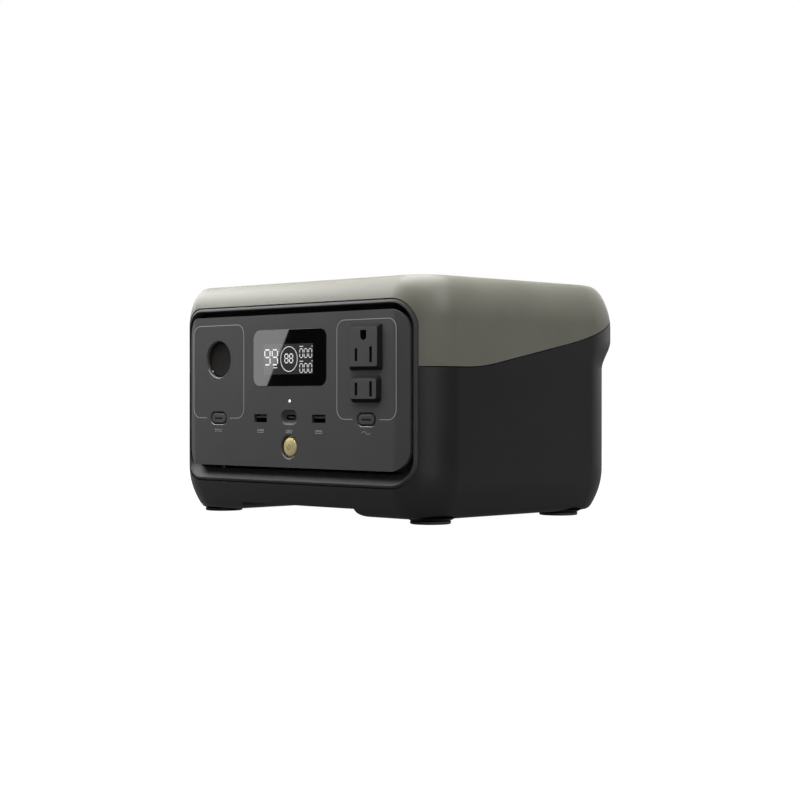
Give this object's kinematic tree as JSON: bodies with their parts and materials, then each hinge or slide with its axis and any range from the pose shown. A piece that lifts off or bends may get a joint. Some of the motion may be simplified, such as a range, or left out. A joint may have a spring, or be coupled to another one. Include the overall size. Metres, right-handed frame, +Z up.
{
  "type": "portable power station",
  "caption": "Box-shaped battery power station with a two-tone case, a rear grab handle, a display, push buttons, and mains, car and USB outlets on its front.",
  "frame": {"origin": "on the ground under the middle of the bounding box", "axes": "+X along the width, +Y from the front panel to the handle, +Z up"},
  "size_m": [0.24, 0.214, 0.1513],
  "materials": {
    "top_grey": "satin moulded",
    "shell_black": "satin moulded",
    "bezel_grey": "satin",
    "panel_grey": "fine matte",
    "socket_grey": "satin",
    "window_glass": "gloss",
    "inner_black": "moulded",
    "brass": "satin",
    "steel": "plated",
    "status_white": "translucent",
    "rubber": "matte",
    "plug_rubber": "matte",
    "board_green": "solder mask",
    "cell_blue": "shrink sleeve",
    "aluminium": "satin",
    "cable_red": "satin"
  },
  "bodies": {
    "housing": {"ac_inlet": "inner_black", "ac_inlet_pin_earth": "brass", "ac_inlet_pin_line": "brass", "ac_inlet_pin_neutral": "brass", "ac_socket_grounded": "socket_grey", "ac_socket_two_pin": "socket_grey", "ac_switch": "inner_black", "battery_cable_negative": "inner_black", "battery_cable_positive": "cable_red", "battery_cap": "inner_black", "battery_tray": "inner_black", "bms_board": "board_green", "car_socket_barrel": "steel", "car_socket_base": "inner_black", "car_socket_contact": "brass", "case_screw_front_left": "steel", "case_screw_front_right": "steel", "case_screw_rear_left": "steel", "case_screw_rear_right": "steel", "cell_row_1": "cell_blue", "cell_row_2": "cell_blue", "cell_row_3": "cell_blue", "cell_row_4": "cell_blue", "dc_inlet": "inner_black", "dc_inlet_pin_negative": "brass", "dc_inlet_pin_positive": "brass", "dc_switch": "inner_black", "display_module": "inner_black", "display_window": "window_glass", "fan_frame": "inner_black", "foot_front_left": "rubber", "foot_front_right": "rubber", "foot_rear_left": "rubber", "foot_rear_right": "rubber", "front_bezel": "bezel_grey", "front_board": "board_green", "front_panel": "panel_grey", "input_panel": "inner_black", "inverter_board": "board_green", "inverter_capacitor_1": "aluminium", "inverter_capacitor_2": "aluminium", "inverter_heatsink": "aluminium", "inverter_transformer": "inner_black", "lower_housing": "shell_black", "power_switch": "inner_black", "status_light": "status_white", "top_cover": "top_grey", "usb_a_port_left": "steel", "usb_a_port_right": "steel", "usb_a_tongue_left": "socket_grey", "usb_a_tongue_right": "socket_grey", "usb_c_port": "steel", "usb_c_tongue": "inner_black", "vent_frame": "inner_black"},
    "power_button": {"power_button": "brass"},
    "dc_button": {"dc_button": "panel_grey"},
    "ac_button": {"ac_button": "panel_grey"},
    "fan_rotor": {"fan_rotor": "inner_black"},
    "socket_plug": {"car_socket_plug": "plug_rubber"}
  },
  "joints": [
    {"name": "power_press", "type": "slide", "parent": "housing", "child": "power_button", "axis": [0, 1, 0], "range_m": [0, 0.0008], "stiffness_N_per_m": 400, "springref_m": -0.0006},
    {"name": "dc_press", "type": "slide", "parent": "housing", "child": "dc_button", "axis": [0, 1, 0], "range_m": [0, 0.0008], "stiffness_N_per_m": 400, "springref_m": -0.0006},
    {"name": "ac_press", "type": "slide", "parent": "housing", "child": "ac_button", "axis": [0, 1, 0], "range_m": [0, 0.0008], "stiffness_N_per_m": 400, "springref_m": -0.0006},
    {"name": "fan_spin", "type": "hinge", "parent": "housing", "child": "fan_rotor", "pos_m": [0.056, 0.069, 0.04], "axis": [0, 1, 0], "continuous": true},
    {"name": "socket_plug_pull", "type": "slide", "parent": "housing", "child": "socket_plug", "axis": [0, -1, 0], "range_m": [0, 0.03]}
  ]
}
